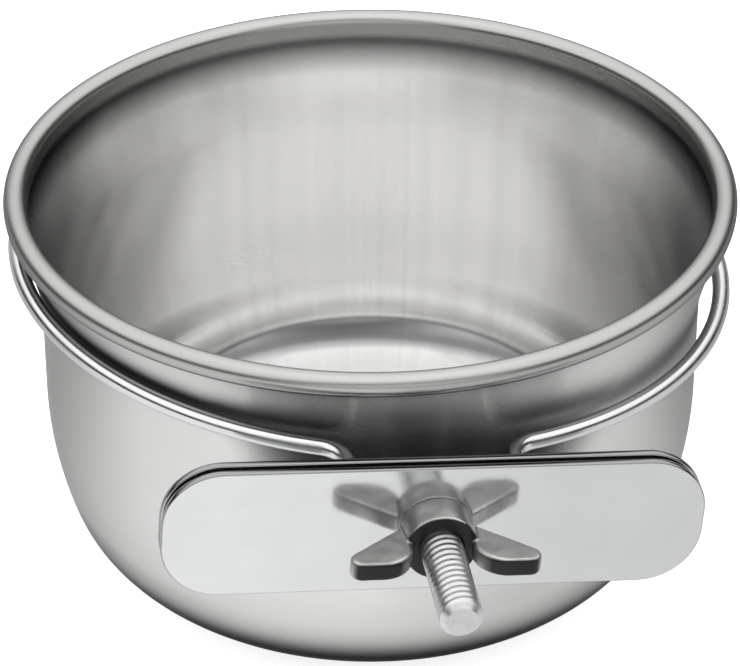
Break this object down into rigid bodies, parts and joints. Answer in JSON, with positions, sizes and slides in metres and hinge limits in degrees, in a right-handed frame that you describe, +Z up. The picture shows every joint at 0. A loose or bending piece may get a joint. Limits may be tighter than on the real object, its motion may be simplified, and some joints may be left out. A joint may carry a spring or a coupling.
{
  "type": "bolt-on seed cup",
  "caption": "Polished steel seed cup seated in a wire ring, held to cage bars by a two-plate clamp with a bolt and wing nut.",
  "frame": {"origin": "middle of the cup's flat foot, on the surface the cup stands on", "axes": "+Z up along the cup's axis, -Y along the clamp bolt, away from the cup, +X to the right seen from the wing nut"},
  "size_m": [0.116, 0.1458, 0.066],
  "materials": {
    "cup_steel": "polished stainless, satin outside",
    "wire_steel": "bright plated wire",
    "plate_steel": "polished sheet",
    "weld_steel": "plated weld metal",
    "bolt_zinc": "bright zinc plate",
    "nut_zinc": "dull zinc, as cast"
  },
  "bodies": {
    "holder": {"holder_ring": "wire_steel", "back_plate": "plate_steel", "ring_welds": "weld_steel", "clamp_bolt": "bolt_zinc"},
    "cup": {"seed_cup": "cup_steel"},
    "clamp": {"clamp_plate": "plate_steel"},
    "nut": {"wing_nut": "nut_zinc"}
  },
  "joints": [
    {"name": "cup_lift", "type": "slide", "parent": "holder", "child": "cup", "axis": [0, 0, 1], "range_m": [0, 0.07]},
    {"name": "plate_slide", "type": "slide", "parent": "holder", "child": "clamp", "axis": [0, -1, 0], "range_m": [-0.00095, 0.0127]},
    {"name": "nut_turn", "type": "hinge", "parent": "clamp", "child": "nut", "pos_m": [-0.00055, -0.0654, 0.04449], "axis": [0, -1, 0], "range_deg": [-271, 3601]}
  ],
  "couplings": [
    {"joint": "nut_turn", "follows": "plate_slide", "rad_per_m": 4947.4}
  ]
}
